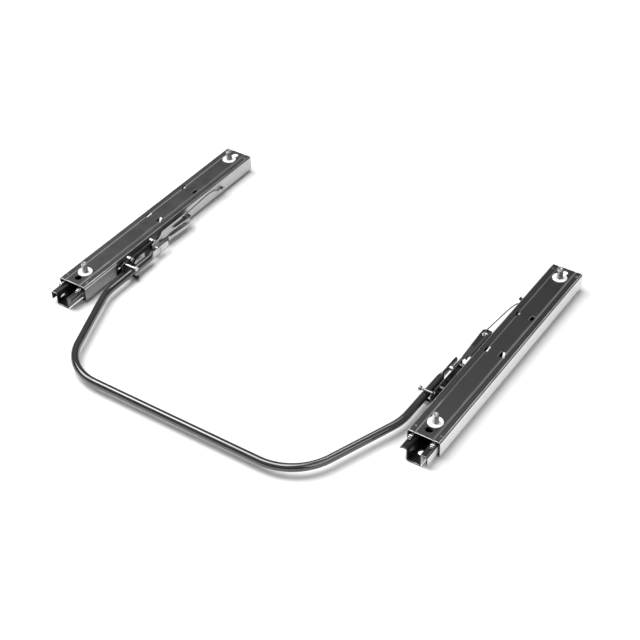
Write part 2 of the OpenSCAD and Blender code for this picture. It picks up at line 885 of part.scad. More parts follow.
// Flattened tube end with rounded corners and its rivet hole
module handle_blade() {
  corner = 4;
  plug = 2;
  seam = 0.15;
  half = blade_h / 2;
  flat_start = blade_start + blade_taper;
  hull() {
    translate([tube_x, blade_start - plug, tube_z])
      rotate([-90, 0, 0])
        cylinder(d = tube_d - 2 * plug_step, h = plug, $fn = 32);
    translate([tube_x - blade_t / 2 - seam, flat_start, tube_z - half + seam])
      cube([blade_t + 2 * seam, plug, blade_h - 2 * seam]);
  }
  difference() {
    along_u(tube_x - blade_t / 2, tube_x + blade_t / 2) {
      rect([flat_start, tube_z - half], [blade_end - corner, tube_z + half]);
      rect([blade_end - corner - 1, tube_z - half + corner], [blade_end, tube_z + half - corner]);
      for (s = [-1, 1])
        translate([blade_end - corner, tube_z + s * (half - corner)])
          circle(corner);
    }
    bar(link_d, tube_x - blade_t, tube_x + blade_t, link_y, tube_z);
  }
}

module handle_tube() {
  color(black_steel) {
    crossbar();
    for (s = [0, 1])
      mirror([s, 0, 0]) {
        handle_side();
        handle_blade();
      }
  }
}

lower_rail(left);  // left_lower_rail
upper_rail(left);  // left_upper_rail
studs(left);  // left_studs
stud_washers(left);  // left_stud_washers
ball_cage(left, 1);  // left_inner_ball_cage
ball_cage(left, -1);  // left_outer_ball_cage
balls(left);  // left_balls
handle_bracket(left);  // left_handle_bracket
bracket_rivets(left);  // left_bracket_rivets
fork_pins(left);  // left_fork_pins
leaf_spring(left);  // left_leaf_spring
latch_lever(left);  // left_latch_lever
lock_pawl(left);  // left_lock_pawl
pawl_rivets(left);  // left_pawl_rivets
lever_pin(left);  // left_lever_pin
return_spring(left);  // left_return_spring
link_rivet(left);  // left_link_rivet
lower_rail(right);  // right_lower_rail
upper_rail(right);  // right_upper_rail
studs(right);  // right_studs
stud_washers(right);  // right_stud_washers
ball_cage(right, 1);  // right_inner_ball_cage
ball_cage(right, -1);  // right_outer_ball_cage
balls(right);  // right_balls
handle_bracket(right);  // right_handle_bracket
bracket_rivets(right);  // right_bracket_rivets
fork_pins(right);  // right_fork_pins
leaf_spring(right);  // right_leaf_spring
latch_lever(right);  // right_latch_lever
lock_pawl(right);  // right_lock_pawl
pawl_rivets(right);  // right_pawl_rivets
lever_pin(right);  // right_lever_pin
return_spring(right);  // right_return_spring
link_rivet(right);  // right_link_rivet
handle_tube();
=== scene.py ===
"""Dresses a packed pair of seat slide rails: models the fine pieces and gives every piece its finish."""

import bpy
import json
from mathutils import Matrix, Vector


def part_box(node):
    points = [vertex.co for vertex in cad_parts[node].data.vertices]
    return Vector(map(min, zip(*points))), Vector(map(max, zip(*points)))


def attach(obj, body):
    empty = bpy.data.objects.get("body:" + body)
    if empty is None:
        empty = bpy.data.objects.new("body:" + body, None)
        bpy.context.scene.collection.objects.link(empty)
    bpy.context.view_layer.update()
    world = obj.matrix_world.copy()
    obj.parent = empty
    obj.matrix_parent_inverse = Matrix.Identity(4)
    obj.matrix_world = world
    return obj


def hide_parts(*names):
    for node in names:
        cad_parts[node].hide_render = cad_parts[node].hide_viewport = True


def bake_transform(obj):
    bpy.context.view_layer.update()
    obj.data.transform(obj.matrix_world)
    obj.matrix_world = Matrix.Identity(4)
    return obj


bl_info = {
    "name": "Seat Slide Rails",
    "version": (1, 0, 0),
    "blender": (4, 5, 0),
    "location": "3D View > Sidebar > Slide Rails",
    "description": "Models the fine pieces of a pair of seat slide rails and gives each piece its finish",
    "category": "Object",
}

import json
import math
import bpy
from bpy.props import FloatProperty, FloatVectorProperty, IntProperty, PointerProperty
from mathutils import Matrix, Vector

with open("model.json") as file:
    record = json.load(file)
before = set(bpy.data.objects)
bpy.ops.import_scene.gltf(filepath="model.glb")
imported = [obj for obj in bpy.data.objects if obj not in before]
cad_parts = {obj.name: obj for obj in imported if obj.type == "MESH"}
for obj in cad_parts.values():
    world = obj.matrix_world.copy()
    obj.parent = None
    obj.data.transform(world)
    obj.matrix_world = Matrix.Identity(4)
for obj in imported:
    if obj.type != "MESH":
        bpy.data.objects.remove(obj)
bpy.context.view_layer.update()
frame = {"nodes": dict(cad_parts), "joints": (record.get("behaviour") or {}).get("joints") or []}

MM = 0.001
MERGE = 2e-6
SIDES = ("left", "right")
RAIL_X = sum(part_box("right_lower_rail")[i].x for i in (0, 1)) / 2
PIVOT = {j["name"]: Vector(j["pos_m"]) for j in frame["joints"] if j.get("pos_m")}
# Faces of the upper rail's wall in millimetres from the rail's centre line, and the inner end of what is riveted to it
WALL_IN, WALL_OUT, RIVET_IN = 20.45, 22.25, 19.25


def length(name, description, value):
    """A size property, given in millimetres and kept in metres."""
    return FloatProperty(name=name, description=description, default=value * MM, unit="LENGTH", precision=5)


def tint(name, description, value):
    """A colour property."""
    return FloatVectorProperty(name=name, description=description, default=value, subtype="COLOR", min=0, max=1)


class HandleSizes(bpy.types.PropertyGroup):
    """Sizes of the loop handle"""
    tube_d: length("Tube diameter", "Outside diameter of the bent tube", 10.5)
    bend_r: length("Bend radius", "Centre line radius of the bends", 72)
    leg_y: length("Outer bend", "Place of the outer bends along the rails", -144)
    corner_x: length("Corner", "Distance from the middle to the sharp corner of the crossbar", 174)
    corner_y: length("Crossbar", "Place of the crossbar along the rails", -286)
    flat_y: length("Start of the flat", "Where the tube starts to flatten", -55)
    taper: length("Taper", "Length over which the tube flattens", 11)
    flat_t: length("Flat thickness", "Thickness of the flattened end", 3)
    flat_h: length("Flat height", "Height of the flattened end", 12)
    nose_r: length("Nose radius", "Corner radius of the flattened end", 4)
    rings: IntProperty(name="Facets", description="Facets round the tube", default=40, min=12, max=64)


class FixingSizes(bpy.types.PropertyGroup):
    """Sizes of studs, washers, rivets and pins"""
    stud_d: length("Stud diameter", "Outside diameter of the stud's thread", 8)
    pitch: length("Thread pitch", "Rise of one turn of the stud's thread", 1.25)
    stud_drop: length("Dropped stud", "How far the right front stud has dropped", 1.5)
    chamfer: length("Chamfer", "Height of the chamfer at the stud's top", 0.9)
    washer_d: length("Washer diameter", "Outside diameter of a washer", 19.4)
    facets: IntProperty(name="Facets", description="Facets round a turned piece", default=32, min=12, max=64)


class SpringSizes(bpy.types.PropertyGroup):
    """Sizes of the wire springs"""
    wire_d: length("Wire diameter", "Diameter of the spring wire", 1.6)
    coil_r: length("Coil radius", "Centre line radius of the coil", 3.8)
    coil_pitch: length("Coil pitch", "Rise of one turn of the coil", 1.7)
    coil_u: length("Coil start", "Distance from the rail's centre line to the coil", 27.85)
    leg_z: length("Leg height", "Height of the long leg", 24.4)
    hook_y: length("Hook", "Place of the hook along the rails", 126)
    hook_z: length("Hook height", "Height of the hook", 14)


class FinishColours(bpy.types.PropertyGroup):
    """Colours of the finishes"""
    coat_top: tint("Coat, flat faces", "Dusty black coat on the faces that lie flat", (0.031, 0.031, 0.032))
    # Painted shade: near black on inner faces, cut ends and faces that are neither flat nor lit
    coat_shade: tint("Coat, sheltered faces", "Clean black coat on inner faces and cut ends", (0.008, 0.008, 0.008))
    # Painted light: pale sides, brightest on the sides that face away from the other rail
    lit_side_out: tint("Coat, outer sides", "Rubbed coat on the sides that face away from the other rail",
                   (0.90, 0.90, 0.90))
    lit_side_in: tint("Coat, inner sides", "Rubbed coat on the sides that face the other rail", (0.56, 0.56, 0.565))
    tube: tint("Tube coat", "Gloss coat of the handle", (0.018, 0.018, 0.019))
    zinc: tint("Zinc", "Plated studs, rivets and pins", (0.58, 0.58, 0.58))
    strip: tint("Strip", "Bright strip of the ball cages", (0.78, 0.78, 0.79))
    # Near white, a painted glint on the lanced tabs and cage ends, and a painted highlight on the inner ridge ahead of
    # the latch
    bare: tint("Bare steel", "Freshly cut steel of lanced tabs and cage ends", (0.93, 0.93, 0.94))
    ball: tint("Balls", "Polished bearing balls", (0.75, 0.75, 0.76))
    wire: tint("Wire", "Spring steel", (0.16, 0.16, 0.165))
    nylon: tint("Nylon", "White washers", (0.92, 0.92, 0.91))


class StageSettings(bpy.types.PropertyGroup):
    """Camera, floor and light"""
    azimuth: FloatProperty(name="Azimuth", description="Camera's turn about the upright", subtype="ANGLE",
                           default=math.radians(35.45))
    elevation: FloatProperty(name="Elevation", description="Camera's height angle", subtype="ANGLE",
                             default=math.radians(39.72))
    roll: FloatProperty(name="Roll", description="Camera's tilt about its own axis", subtype="ANGLE",
                        default=math.radians(-2.22))
    distance: length("Distance", "Camera's distance from its target", 1771.2)
    target: FloatVectorProperty(name="Target", description="Point that the camera looks at", subtype="XYZ",
                                default=(0.04444, -0.04233, 0.015))
    lens: FloatProperty(name="Lens", description="Focal length in millimetres", default=77.75)
    soft_power: FloatProperty(name="Soft light", description="Power of the large lamp overhead in watts", default=88)
    crisp_power: FloatProperty(name="Crisp light", description="Power of the small lamp overhead in watts", default=4)
    rear_power: FloatProperty(name="Rear light", description="Power of the small lamp behind in watts", default=9)
    fill_power: FloatProperty(name="Fill light", description="Power of the low side lamp in watts", default=7)
    sky: FloatProperty(name="Surround", description="Brightness of the surround overhead", default=0.32)
    horizon: FloatProperty(name="Horizon", description="Brightness of the surround at floor level", default=0.06)
    floor_lift: FloatProperty(name="Floor lift", description="Extra brightness of the floor as it is seen",
                              default=0.01)


class SlideRailSettings(bpy.types.PropertyGroup):
    """Everything that a user would change"""
    handle: PointerProperty(type=HandleSizes)
    fixings: PointerProperty(type=FixingSizes)
    springs: PointerProperty(type=SpringSizes)
    colours: PointerProperty(type=FinishColours)
    stage: PointerProperty(type=StageSettings)


def settings():
    """The sizes, colours and stage values in use."""
    return bpy.context.scene.slide_rails


# Modelling helpers

def rest():
    """Leaves edit mode and deselects everything."""
    if bpy.context.object and bpy.context.object.mode == "EDIT":
        bpy.ops.object.mode_set(mode="OBJECT")
    bpy.ops.object.select_all(action="DESELECT")


def take(*pieces):
    """Selects the pieces and makes the first one active."""
    rest()
    for piece in pieces:
        piece.select_set(True)
    bpy.context.view_layer.objects.active = pieces[0]


def heal(piece, angle=35):
    """Merges doubled points, turns the faces outwards and smooths the round ones."""
    take(piece)
    bpy.ops.object.mode_set(mode="EDIT")
    bpy.ops.mesh.select_all(action="SELECT")
    bpy.ops.mesh.remove_doubles(threshold=MERGE)
    bpy.ops.mesh.normals_make_consistent(inside=False)
    bpy.ops.object.mode_set(mode="OBJECT")
    bpy.ops.object.shade_smooth_by_angle(angle=math.radians(angle))
    return piece


def apply_modifier(piece, kind, **values):
    """Adds a modifier, sets it and applies it."""
    take(piece)
    bpy.ops.object.modifier_add(type=kind)
    modifier = piece.modifiers[-1]
    for key, value in values.items():
        setattr(modifier, key, value)
    bpy.ops.object.modifier_apply(modifier=modifier.name)


def drawn_line(points):
    """Draws a line of edges by pulling one point along."""
    rest()
    bpy.ops.mesh.primitive_plane_add(size=MM)
    bpy.ops.object.mode_set(mode="EDIT")
    bpy.ops.mesh.merge(type="CENTER")
    bpy.ops.transform.translate(value=points[0])
    for a, b in zip(points, points[1:]):
        bpy.ops.mesh.extrude_vertices_move(TRANSFORM_OT_translate={"value": Vector(b) - Vector(a)})
    bpy.ops.object.mode_set(mode="OBJECT")
    return bpy.context.object


def turned(points, facets, rise=0.0, turns=1):
    """Turns a profile of radii and heights in millimetres about Z, with a rise for a thread."""
    piece = drawn_line([(r * MM, 0, z * MM) for r, z in points])
    apply_modifier(piece, "SCREW", steps=facets, render_steps=facets, screw_offset=rise, iterations=turns,
                   use_merge_vertices=True, merge_threshold=1e-6)
    return heal(piece)


def put(piece, at, turn=(0, 0, 0)):
    """Moves a piece into place and keeps the place in its mesh."""
    take(piece)
    piece.location = at
    piece.rotation_euler = turn
    bpy.ops.object.transform_apply(location=True, rotation=True, scale=True)
    return piece


def joined(name, pieces):
    """Joins pieces into one object."""
    take(*pieces)
    if len(pieces) > 1:
        bpy.ops.object.join()
    piece = bpy.context.object
    piece.name = piece.data.name = name
    return piece


def copied(piece):
    """A copy of a piece with a mesh of its own."""
    take(piece)
    bpy.ops.object.duplicate(linked=False)
    return bpy.context.object


def mirrored(piece, name):
    """Copies a left piece to the right."""
    twin = copied(piece)
    twin.scale.x = -1
    bpy.ops.object.transform_apply(location=True, rotation=True, scale=True)
    twin.name = twin.data.name = name
    return heal(twin)


def left(u, y, z):
    """A point of the left rail: u runs from its centre line towards the other rail, all in millimetres."""
    return Vector((-RAIL_X + u * MM, y * MM, z * MM))


def across(points, y, z, facets):
    """A turned piece that lies across the left rail: radius and u for each point of its profile."""
    piece = turned(points, facets)
    return put(piece, left(0, y, z), (0, math.pi / 2, 0))


def hand_in(piece, material, body, slot, *nodes):
    """Gives a finished piece its material and the body that it rides on, and hides the nodes that it stands for. Given
    a tuple of two bodies and two points, it only keeps the piece where it stands."""
    piece.data.materials.clear()
    piece.data.materials.append(material)
    if nodes:
        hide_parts(*nodes)
    if isinstance(body, tuple):
        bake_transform(piece)
    else:
        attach(piece, body)


def both_sides(piece, name, material, body, slot, replace=True):
    """Hands in a left piece and its mirror image. The body is the end of its name, or a function of the side."""
    piece.name = piece.data.name = f"left_{name}_fine"
    twin = mirrored(piece, f"right_{name}_fine")
    for side, one in zip(SIDES, (piece, twin)):
        carrier = body(side) if callable(body) else f"{side}_{body}"
        hand_in(one, material, carrier, slot, *([f"{side}_{name}"] if replace else []))


# Finishes

# Greys of scuffs, of grain and scuffs on the pale sides, of painted shade on the inner wall ahead of the latch, and of
# painted shade on the right rail's small pieces and low on the pins
DUST_SCUFF, TUBE_SCUFF, NYLON_SCUFF = (0.10, 0.10, 0.105, 1), (0.05, 0.05, 0.052, 1), (0.6, 0.6, 0.58, 1)
PALE_GRAIN, PALE_SCUFF, FRONT_WALL_SHADE = (0.3, 0.3, 0.305, 1), (0.35, 0.35, 0.36, 1), (0.12, 0.12, 0.12, 1)
RIGHT_PIECE_SHADE, LOW_PIECE_SHADE = (0.04, 0.04, 0.04, 1), (0.03, 0.03, 0.03, 1)
# Stretches in metres over which the masks change: from a rail's centre line, upwards, along the rails and across them
CORNER_U, GROOVE_U, GROOVE_SPREAD = (0.0165, 0.0185), 0.0123, (0.0005, 0.0016)
TOP_Z, GROOVE_Z, RIDGE_Z, FLAT_Z = (0.0235, 0.0245), (0.0236, 0.0246), (0.0220, 0.0227), (0.010, 0.016)
LATCH_FRONT_Y, LATCH_REAR_Y, LEVER_FRONT_Y = (-0.102, -0.094), (0.045, 0.06), (0.006, 0.014)
LEFT_TO_RIGHT, BETWEEN = (-0.2, 0.2), (-0.1, 0.1)
# Each metal's material name, its colour and the share of it, its lowest and highest roughness, and what else differs
METALS = {
    "zinc": ("zinc_plate", "zinc", 1.0, 0.32, 0.48, {}),
    # Painted shade: the rivets, pawl, pins and leaf are darker on the right rail, and the pins below a height
    "rivet": ("rivet_plate", "zinc", 1.0, 0.32, 0.48, {"shade_height": -0.01, "dirt": 0.93}),
    "stud": ("stud_plate", "zinc", 0.7, 0.34, 0.5, {}),
    "pin": ("pin_plate", "zinc", 1.0, 0.25, 0.4, {"shade_height": 0.013}),
    "leaf": ("leaf_strip", "strip", 1.0, 0.16, 0.32, {"scuffs": 0.3, "shade_height": -0.01, "dirt": 0.93}),
    "strip": ("bright_strip", "strip", 1.0, 0.16, 0.32, {"scuffs": 0.3}),
    # Bare steel, near white with little metal in it: a painted glint
    "bare": ("bare_steel", "bare", 1.0, 0.28, 0.42, {"scuffs": 0.2, "metallic": 0.2}),
    "crinkled": ("crinkled_strip", "bare", 0.35, 0.15, 0.3,
                 {"scuffs": 0.9, "metallic": 0.75, "cloud": 400.0, "dull": 0.03}),
    "ball": ("ball_polish", "ball", 1.0, 0.04, 0.1, {"scuffs": 0.1}),
    "wire": ("spring_wire", "wire", 1.0, 0.2, 0.34, {"scuffs": 0.5}),
}


def shade(colour, factor=1.0):
    """A colour made darker or lighter, with its alpha."""
    return (*[min(1, c * factor) for c in colour], 1)


def new_group(name, inputs, outputs):
    """An empty shader node group with its sockets."""
    group = bpy.data.node_groups.new(name, "ShaderNodeTree")
    for direction, sockets in (("INPUT", inputs), ("OUTPUT", outputs)):
        for label, kind, value in sockets:
            socket = group.interface.new_socket(label, in_out=direction, socket_type=f"NodeSocket{kind}")
            if value is not None:
                socket.default_value = value
    return group


class Nodes:
    """Places and links nodes in one tree."""

    def __init__(self, tree):
        self.tree = tree

    def add(self, kind, inputs=None, **values):
        node = self.tree.nodes.new(f"ShaderNode{kind}" if not kind.startswith("Node") else kind)
        for key, value in values.items():
            setattr(node, key, value)
        for key, value in (inputs or {}).items():
            if isinstance(value, bpy.types.NodeSocket):
                self.tree.links.new(value, node.inputs[key])
            else:
                node.inputs[key].default_value = value
        return node

    def maths(self, operation, a, b=0.0, clamp=False):
        return self.add("Math", {0: a, 1: b}, operation=operation, use_clamp=clamp).outputs[0]

    def ramp(self, value, low, high, to_low=0.0, to_high=1.0):
        node = self.add("MapRange", {"Value": value, "From Min": low, "From Max": high, "To Min": to_low,
                                     "To Max": to_high}, interpolation_type="SMOOTHSTEP")
        return node.outputs["Result"]

    def blend(self, factor, a, b):
        node = self.add("Mix", {0: factor, 6: a, 7: b}, data_type="RGBA")
        return node.outputs[2]

    def place(self):
        return self.add("SeparateXYZ", {0: self.add("TexCoord").outputs["Object"]}).outputs

    def noise(self, scale, detail=3.0, roughness=0.6, stretch=(1, 1, 1)):
        where = self.add("TexCoord").outputs["Object"]
        mapping = self.add("Mapping", {"Vector": where, "Scale": stretch})
        node = self.add("TexNoise", {"Vector": mapping.outputs[0], "Scale": scale, "Detail": detail,
                                     "Roughness": roughness})
        return node.outputs[0]


def painted_marks_group():
    """Masks of where light and shade are painted: sides that point away from their rail and leaning tabs (painted
    light), fold lines, edges and the pressed grooves (painted highlights), flat tops, the inner wall ahead of the latch
    (painted shade) with its bright ridge (painted highlight), and the wall that the latch shades (painted shade)."""
    labels = ("Side", "Fold", "Edge", "Outer", "Lean", "Flat", "Groove", "Ahead", "Ridge", "Dirty", "Off Centre")
    group = new_group("Rubbed Places", [("Rail Place", "Float", RAIL_X)], [(label, "Float", None) for label in labels])
    n = Nodes(group)
    source, sink = n.add("NodeGroupInput"), n.add("NodeGroupOutput")
    where = n.add("TexCoord")
    normal = n.add("SeparateXYZ", {0: where.outputs["Normal"]}).outputs
    place = n.add("SeparateXYZ", {0: where.outputs["Object"]}).outputs
    beyond = n.maths("SUBTRACT", n.maths("ABSOLUTE", place["X"]), source.outputs["Rail Place"])
    outer = n.maths("GREATER_THAN", beyond, 0.0)
    away = n.maths("MULTIPLY", n.maths("SIGN", place["X"]), n.maths("SIGN", beyond))
    outward = n.maths("MULTIPLY", normal["X"], away)
    # Sides that face away from their rail, where light is painted
    side = n.ramp(outward, 0.84, 0.96)
    # Crowns of the folds, where a highlight is painted
    fold = n.maths("MULTIPLY", n.ramp(outward, 0.22, 0.38), n.ramp(outward, 0.48, 0.64, 1.0, 0.0))
    off_centre = n.maths("ABSOLUTE", beyond)
    fold = n.maths("MULTIPLY", fold, n.ramp(off_centre, *CORNER_U, 0.2, 1.0))
    level = n.maths("ABSOLUTE", normal["Z"])
    along = n.maths("ABSOLUTE", normal["Y"])
    # Bevelled edges, fully at the rail ends, where a highlight is painted
    edge = n.ramp(n.maths("MINIMUM", level, along), 0.2, 0.36)
    low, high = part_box("left_upper_rail")
    from_middle = n.maths("ABSOLUTE", n.maths("SUBTRACT", place["Y"], (low.y + high.y) / 2))
    half = (high.y - low.y) / 2
    at_end = n.ramp(from_middle, half - 2 * MM, half - MM, 0.2, 1.0)
    edge = n.maths("MULTIPLY", edge, n.maths("MAXIMUM", at_end, n.ramp(place["Z"], *TOP_Z, 1.0, 0.0)))
    # Leaning tabs, where light is painted
    lean = n.maths("MULTIPLY", n.ramp(outward, 0.72, 0.84), n.ramp(outward, 0.95, 0.985, 1.0, 0.0))
    flat = n.maths("MULTIPLY", n.ramp(normal["Z"], 0.5, 0.95), n.ramp(place["Z"], *FLAT_Z))
    # Pressed grooves, where a highlight is painted
    groove = n.ramp(n.maths("ABSOLUTE", n.maths("SUBTRACT", off_centre, GROOVE_U)), *GROOVE_SPREAD, 1.0, 0.0)
    groove = n.maths("MULTIPLY", groove, n.ramp(place["Z"], *GROOVE_Z))
    groove = n.maths("MULTIPLY", groove, n.ramp(normal["Z"], 0.3, 0.6))
    inner = n.maths("SUBTRACT", 1.0, outer)
    # Inner wall ahead of the latch, where shade is painted, and its ridge, where a highlight is painted
    ahead = n.maths("MULTIPLY", inner, n.ramp(place["Y"], *LATCH_FRONT_Y, 1.0, 0.0))
    ridge = n.maths("MULTIPLY", ahead, n.ramp(place["Z"], *RIDGE_Z))
    # Inner wall along the latch, where the latch's shade is painted
    mechanism_shade = n.maths("SUBTRACT", inner, ahead, clamp=True)
    mechanism_shade = n.maths("MULTIPLY", mechanism_shade, n.ramp(place["Y"], *LATCH_REAR_Y, 1.0, 0.0))
    for label, value in zip(labels, (side, fold, edge, outer, lean, flat, groove, ahead, ridge, mechanism_shade, off_centre)):
        group.links.new(value, sink.inputs[label])
    return group


def handling_group():
    """Cloudy mottling, fine grain and small scuffs that a coat picks up in use."""
    group = new_group("Handling", [("Cloud Scale", "Float", 45.0), ("Grain Scale", "Float", 900.0),
                                   ("Scuffs", "Float", 0.5)],
                      [("Cloud", "Float", None), ("Grain", "Float", None), ("Scuff", "Float", None)])
    n = Nodes(group)
    source, sink = n.add("NodeGroupInput"), n.add("NodeGroupOutput")
    cloud = n.noise(45.0, detail=4.0)
    group.links.new(source.outputs["Cloud Scale"], cloud.node.inputs["Scale"])
    grain = n.noise(900.0, detail=2.0)
    group.links.new(source.outputs["Grain Scale"], grain.node.inputs["Scale"])
    streak = n.noise(120.0, detail=5.0, roughness=0.75, stretch=(1, 0.12, 1))
    scuff = n.maths("MULTIPLY", n.ramp(streak, 0.60, 0.72), source.outputs["Scuffs"])
    for label, value in (("Cloud", cloud), ("Grain", grain), ("Scuff", scuff)):
        group.links.new(value, sink.inputs[label])
    return group


class Finishes:
    """Builds each material once."""
    made = {}

    @classmethod
    def group(cls, name, maker):
        if name not in cls.made:
            cls.made[name] = maker()
        return cls.made[name]

    @classmethod
    def start(cls, name):
        material = bpy.data.materials.new(name)
        material.use_nodes = True
        n = Nodes(material.node_tree)
        shader = material.node_tree.nodes["Principled BSDF"]
        return material, n, shader

    @classmethod
    def handling(cls, n, cloud, grain, scuffs):
        node = n.add("Group", node_tree=cls.group("handling", handling_group))
        node.inputs["Cloud Scale"].default_value = cloud
        node.inputs["Grain Scale"].default_value = grain
        node.inputs["Scuffs"].default_value = scuffs
        return node

    @classmethod
    def rubbed(cls, n):
        return n.add("Group", node_tree=cls.group("rubbed", painted_marks_group)).outputs

    @classmethod
    def bump(cls, n, shader, height, strength, distance):
        node = n.add("Bump", {"Height": height, "Strength": strength, "Distance": distance})
        n.tree.links.new(node.outputs[0], shader.inputs["Normal"])

    @classmethod
    def coat(cls, name="rail_coat", rub="Side", gloss=0.5, reach=None):
        """Satin black coat on folded sheet, with painted light on its outer sides or its tabs, painted highlights on
        fold lines, edges and grooves, and painted shade in near black on its other faces. With a reach, as on the
        levers, its sides get painted light only further than that from the rail's centre line, and its top is pale in
        front and along the rail, mostly on the left, and near black elsewhere as painted shade. The flat tops of the
        left rail are lighter than those of the right."""
        if name in cls.made:
            return cls.made[name]
        colours = settings().colours
        material, n, shader = cls.start(name)
        use = cls.handling(n, 40.0, 800.0, 0.5)
        masks = cls.rubbed(n)
        cloud = n.ramp(use.outputs["Cloud"], 0.3, 0.7)
        grain = n.ramp(use.outputs["Grain"], 0.25, 0.75)
        flat_tone = n.blend(cloud, shade(colours.coat_top, 0.8), shade(colours.coat_top, 1.2))
        flat_tone = n.blend(use.outputs["Scuff"], flat_tone, DUST_SCUFF)
        place = n.place()
        deep = shade(colours.coat_shade)
        # The flat tops are darker on the right rail than on the left
        flat_tone = n.blend(n.ramp(place["X"], *LEFT_TO_RIGHT, 0.0, 0.9), flat_tone, deep)
        # Painted shade: faces that are not flat get the near-black colour, and on the levers most of the flat top does
        # too
        black = n.blend(n.maths("MULTIPLY", masks["Flat"], 0.2 if reach else 1.0), deep, flat_tone)
        # Painted light on the sides, brighter on the outer ones, with grain and scuffs
        pale = n.blend(masks["Outer"], shade(colours.lit_side_in), shade(colours.lit_side_out))
        pale = n.blend(n.maths("MULTIPLY", grain, 0.3), pale, PALE_GRAIN)
        pale = n.blend(n.maths("MULTIPLY", use.outputs["Scuff"], 0.6), pale, PALE_SCUFF)
        # Painted highlight on fold lines and edges, patchy
        painted_highlight = n.maths("MULTIPLY", n.maths("ADD", masks["Fold"], masks["Edge"], clamp=True), 0.75)
        painted_highlight = n.maths("MULTIPLY", painted_highlight, n.ramp(use.outputs["Cloud"], 0.35, 0.6, 0.55, 1.0))
        # Painted shade on the inner wall ahead of the latch, and a painted highlight along its ridge
        pale = n.blend(n.maths("MULTIPLY", masks["Ahead"], 0.55), pale, FRONT_WALL_SHADE)
        pale = n.blend(masks["Ridge"], pale, shade(colours.bare))
        if reach:
            # Painted light on the lever's sides beyond the reach; its flat top is pale near the rail and in front, more
            # on the left
            light = n.maths("MULTIPLY", masks[rub], n.ramp(masks["Off Centre"], reach - MM, reach + MM))
            top = n.maths("MULTIPLY", masks["Flat"], n.ramp(place["X"], *LEFT_TO_RIGHT, 0.6, 0.05))
            spot = n.maths("MAXIMUM", n.ramp(place["Y"], *LEVER_FRONT_Y, 1.0, 0.0),
                           n.ramp(masks["Off Centre"], reach - 2 * MM, reach, 1.0, 0.0))
            light = n.maths("MAXIMUM", light, n.maths("MULTIPLY", top, spot))
        else:
            # Painted shade where the latch shades the inner wall
            light = n.maths("MULTIPLY", masks[rub], n.ramp(masks["Dirty"], 0, 1, 1.0, 0.12))
        light = n.maths("MAXIMUM", light, painted_highlight)
        # Painted highlight along the pressed grooves
        light = n.maths("MAXIMUM", light, n.maths("MULTIPLY", masks["Groove"], 0.16))
        links = n.tree.links
        links.new(n.blend(light, black, pale), shader.inputs["Base Color"])
        links.new(n.ramp(light, 0, 1, 0.1, 0.4), shader.inputs["Metallic"])
        rough = n.maths("ADD", n.ramp(use.outputs["Grain"], 0.2, 0.8, 0.34, 0.46), n.maths("MULTIPLY", cloud, 0.06))
        links.new(rough, shader.inputs["Roughness"])
        shader.inputs["Specular IOR Level"].default_value = gloss
        cls.bump(n, shader, use.outputs["Grain"], 0.25, 0.00006)
        cls.made[name] = material
        return material

    @classmethod
    def channel(cls):
        """The same coat, duller, as on the greasy lower channels."""
        return cls.coat("channel_coat", gloss=0.15)

    @classmethod
    def lever(cls):
        """The same coat on the latch levers, pale on top and with painted light on the wall that faces the other rail.
        """
        return cls.coat("lever_coat", gloss=0.3, reach=0.030)

    @classmethod
    def bracket(cls):
        """The same coat with painted light on leaning tabs alone, as on the brackets behind the handle."""
        return cls.coat("bracket_coat", "Lean")

    @classmethod
    def tube(cls):
        """Gloss black coat of the handle, with painted light on the outer sides of its flattened ends."""
        if "tube" in cls.made:
            return cls.made["tube"]
        colours = settings().colours
        material, n, shader = cls.start("tube_coat")
        links = n.tree.links
        use = cls.handling(n, 60.0, 900.0, 0.35)
        masks = cls.rubbed(n)
        handle = settings().handle
        ends = n.ramp(n.place()["Y"], handle.flat_y, handle.flat_y + handle.taper * 0.7)
        # Painted light on the outer sides of the flattened ends
        rubbed = n.maths("MULTIPLY", ends, masks["Side"], clamp=True)
        cloud = n.ramp(use.outputs["Cloud"], 0.3, 0.7)
        black = n.blend(cloud, shade(colours.tube, 0.8), shade(colours.tube, 1.3))
        black = n.blend(use.outputs["Scuff"], black, TUBE_SCUFF)
        links.new(n.blend(rubbed, black, shade(colours.lit_side_in)), shader.inputs["Base Color"])
        links.new(n.maths("MULTIPLY", rubbed, 0.4), shader.inputs["Metallic"])
        rough = n.maths("ADD", n.ramp(use.outputs["Cloud"], 0.25, 0.75, 0.04, 0.09), n.maths("MULTIPLY", rubbed, 0.3))
        links.new(rough, shader.inputs["Roughness"])
        shader.inputs["IOR"].default_value = 1.85
        cls.bump(n, shader, use.outputs["Grain"], 0.05, 0.00003)
        cls.made["tube"] = material
        return material

    @classmethod
    def metal(cls, kind):
        """A metal from the table above."""
        name, colour, share, low, high, more = METALS[kind]
        return cls.worked(name, [c * share for c in getattr(settings().colours, colour)], low, high, **more)

    @classmethod
    def worked(cls, name, colour, low, high, scuffs=0.4, metallic=1.0, shade_height=None, dirt=0.6, cloud=90.0, dull=0.75):
        """Bare or plated metal, mottled down to a dull share of its colour, with a fine grain. With a height given, it
        is painted darker below that height, and darker on the right than on the left by the given share: both are
        painted shade."""
        if name in cls.made:
            return cls.made[name]
        material, n, shader = cls.start(name)
        use = cls.handling(n, cloud, 1200.0, scuffs)
        mottle = n.ramp(use.outputs["Cloud"], 0.3, 0.7)
        tone = n.blend(mottle, shade(colour, dull), shade(colour, 1.1))
        tone = n.blend(use.outputs["Scuff"], tone, shade(colour, 0.4))
        if shade_height:
            place = n.place()
